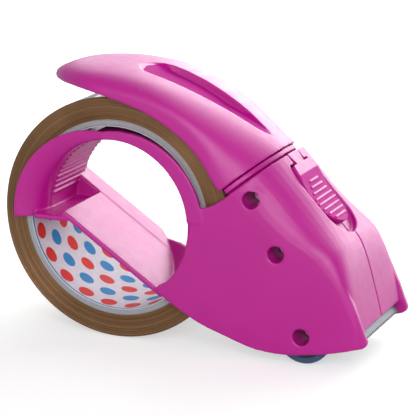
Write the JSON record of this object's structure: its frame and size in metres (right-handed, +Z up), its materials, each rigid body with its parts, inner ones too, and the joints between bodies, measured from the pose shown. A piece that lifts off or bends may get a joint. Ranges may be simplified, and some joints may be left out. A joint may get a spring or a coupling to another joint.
{
  "type": "packing tape dispenser",
  "caption": "Hand-held packing tape dispenser: arched brake handle over a tape roll on an open hub, wedge body with thumb slide, toothed blade and rubber press roller.",
  "frame": {"origin": "centre of the footprint on the surface where the full roll and the press roller rest", "axes": "+X forward to the blade, +Y to the user's left (the open side where a roll goes on), +Z up"},
  "size_m": [0.1593, 0.0578, 0.1105],
  "materials": {
    "shell": "fine satin moulding texture",
    "lever": "satin",
    "slide": "satin",
    "pad": "matte",
    "steel": "bright zinc",
    "blade": "ground steel",
    "sleeve": "satin",
    "roller": "satin",
    "tape": "glossy film, layered sides",
    "card": "raw grey card",
    "print": null
  },
  "bodies": {
    "base": {"right_shell": "shell", "left_shell": "shell", "shell_screws": "steel", "handle_spring": "steel"},
    "roll": {"tape_winding": "tape", "tape_core": "card", "core_liner": "print"},
    "handle": {"handle_cover": "shell", "handle_lever": "lever", "handle_screws": "steel", "brake_pad": "pad"},
    "slide": {"thumb_slider": "slide", "slider_screw": "steel", "blade_carrier": "lever", "blade": "blade", "blade_rivets": "steel", "slider_spring": "steel"},
    "roller": {"roller_sleeve": "sleeve", "roller_core": "roller"}
  },
  "joints": [
    {"name": "roll_spin", "type": "hinge", "parent": "base", "child": "roll", "pos_m": [-0.02975, 0, 0.05], "axis": [0, 1, 0], "continuous": true},
    {"name": "handle_press", "type": "hinge", "parent": "base", "child": "handle", "pos_m": [0.03025, 0, 0.06501], "axis": [0, -1, 0], "range_deg": [0, 2.5], "stiffness_Nm_per_rad": 6, "springref_deg": -2.86},
    {"name": "blade_slide", "type": "slide", "parent": "base", "child": "slide", "axis": [0.679, 0, -0.7341], "range_m": [0, 0.005], "stiffness_N_per_m": 400, "springref_m": -0.004, "deforming": ["slider_spring"]},
    {"name": "roller_spin", "type": "hinge", "parent": "base", "child": "roller", "pos_m": [0.05257, 0, 0.0117], "axis": [0, 1, 0], "continuous": true}
  ]
}
